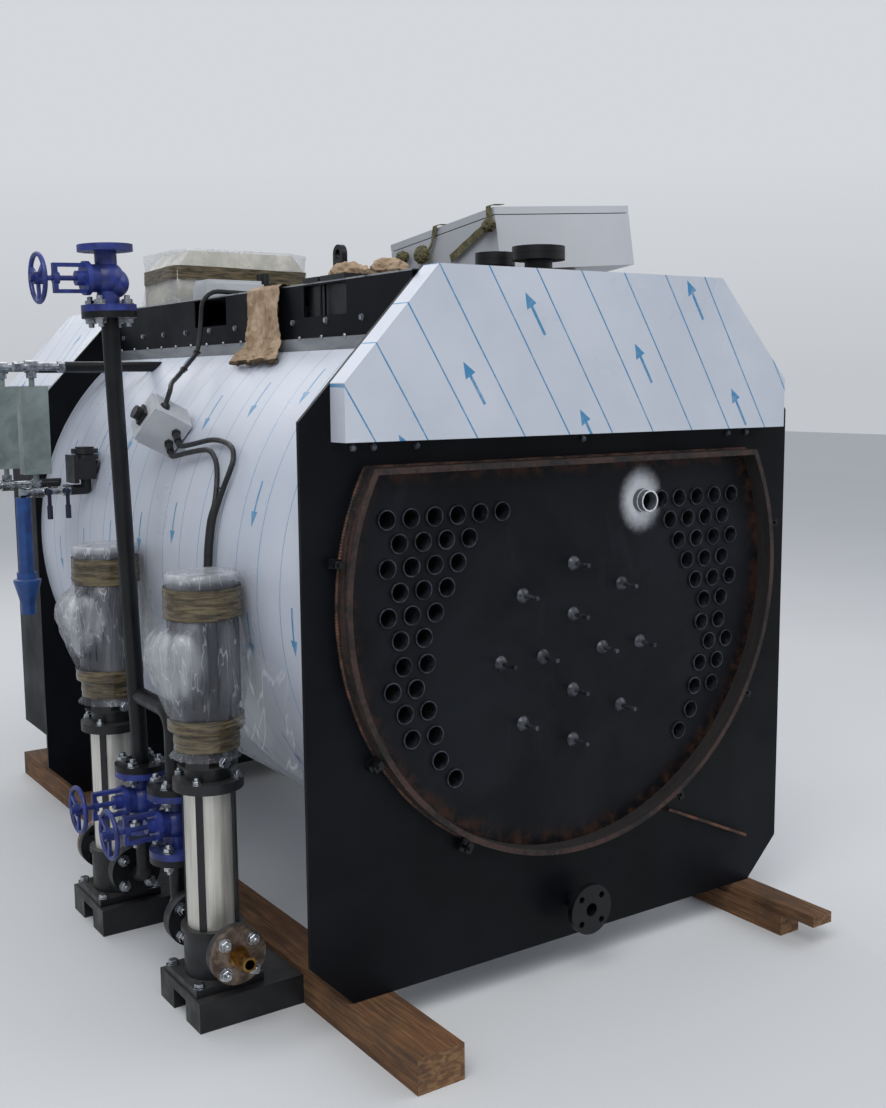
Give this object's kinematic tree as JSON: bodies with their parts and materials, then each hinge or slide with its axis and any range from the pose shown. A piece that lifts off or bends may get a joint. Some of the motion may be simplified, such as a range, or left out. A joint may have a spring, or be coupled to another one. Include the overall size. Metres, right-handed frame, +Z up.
{
  "type": "industrial boiler",
  "caption": "Packaged fire-tube boiler with open tube plate, film-covered cladding and hoods, feed pumps, valves, level gauges and a control cabinet lying on its deck, on transport timbers.",
  "frame": {"origin": "middle of the near end plate's bottom edge, at the plate's front face", "axes": "+X to the right across the near end plate, +Y along the shell away from it, +Z up"},
  "size_m": [2.0017, 3.066, 2.1975],
  "materials": {
    "black_paint": "semi-gloss black coating, dusty",
    "rusty_steel": "rusty rolled steel edge",
    "bare_steel": "mill-scale steel with blue-grey sheen",
    "white_film": "white protective film on sheet steel",
    "grey_paint": "light grey powder coating",
    "strip_grey": "grey riveted strip",
    "stainless": "ground stainless steel",
    "black_cast": "black painted casting",
    "blue_cast": "dark blue valve paint",
    "brass": "turned brass",
    "pale_wood": "weathered sawn softwood",
    "packer_wood": "rough packing timber",
    "gauge_green": "grey-green gauge body",
    "cock_steel": "plated steel fittings",
    "black_plastic": "moulded black plastic",
    "grey_plastic": "moulded grey plastic",
    "white_paint": "white enamel",
    "motor_grey": "grey motor paint",
    "wrap_film": "clear stretch film over card",
    "blue_plastic": "blue moulded plastic",
    "grip_blue": "soft blue-black grip"
  },
  "bodies": {
    "boiler": {"near_end_plate": "black_paint", "smokebox_rim": "rusty_steel", "rim_clips": "cock_steel", "tube_plate": "bare_steel", "fire_tubes": "bare_steel", "wall_studs": "bare_steel", "test_collar": "white_paint", "drain_flange": "black_paint", "drip_ledge": "rusty_steel", "near_hood": "white_film", "pressure_shell": "bare_steel", "cladding": "white_film", "far_end_plate": "black_paint", "rear_casing": "black_paint", "rear_hood": "white_film", "deck_plate": "black_paint", "deck_side_panels": "black_paint", "deck_base_strips": "strip_grey", "top_nozzles": "black_paint", "lifting_lug": "black_paint", "control_cabinet": "grey_paint", "cabinet_door": "grey_paint", "cabinet_packers": "packer_wood", "wrapped_box": "wrap_film", "deck_junction_box": "grey_plastic", "clad_junction_box": "grey_plastic", "box_glands": "black_plastic", "deck_blocks": "black_paint", "supply_cables": "black_plastic", "suction_flanges": "bare_steel", "near_pump_base": "black_cast", "near_pump_sleeve": "stainless", "near_pump_head": "black_cast", "near_pump_motor": "motor_grey", "far_pump_base": "black_cast", "far_pump_sleeve": "stainless", "far_pump_head": "black_cast", "far_pump_motor": "motor_grey", "suction_nipples": "brass", "near_delivery": "black_paint", "far_delivery": "black_paint", "near_branch": "black_paint", "feed_riser": "black_paint", "near_valve": "blue_cast", "far_valve": "blue_cast", "top_valve": "blue_cast", "level_gauges": "gauge_green", "gauge_pipes": "black_paint", "gauge_cocks": "cock_steel", "level_casting": "black_cast", "gauge_drain": "blue_plastic", "pump_skids": "black_paint", "left_timber": "pale_wood", "right_timber": "pale_wood"},
    "near_wheel": {"near_handwheel": "blue_cast"},
    "far_wheel": {"far_handwheel": "blue_cast"},
    "top_wheel": {"top_handwheel": "blue_cast"},
    "left_lever": {"cock_lever_left": "grip_blue"},
    "right_lever": {"cock_lever_right": "grip_blue"}
  },
  "joints": [
    {"name": "near_valve_turn", "type": "hinge", "parent": "boiler", "child": "near_wheel", "pos_m": [-1.11, 0.6, 0.348], "axis": [-1, 0, 0], "range_deg": [0, 1800]},
    {"name": "far_valve_turn", "type": "hinge", "parent": "boiler", "child": "far_wheel", "pos_m": [-1.11, 0.85, 0.348], "axis": [-1, 0, 0], "range_deg": [0, 1800]},
    {"name": "top_valve_turn", "type": "hinge", "parent": "boiler", "child": "top_wheel", "pos_m": [-1.15136, 0.85, 1.82875], "axis": [-0.9996, 0, -0.0297], "range_deg": [0, 1800]},
    {"name": "left_cock_turn", "type": "hinge", "parent": "boiler", "child": "left_lever", "pos_m": [-0.945, 1.52, 1.2], "axis": [0, 1, 0], "range_deg": [0, 90]},
    {"name": "right_cock_turn", "type": "hinge", "parent": "boiler", "child": "right_lever", "pos_m": [-0.885, 1.52, 1.2], "axis": [0, -1, 0], "range_deg": [0, 90]}
  ]
}
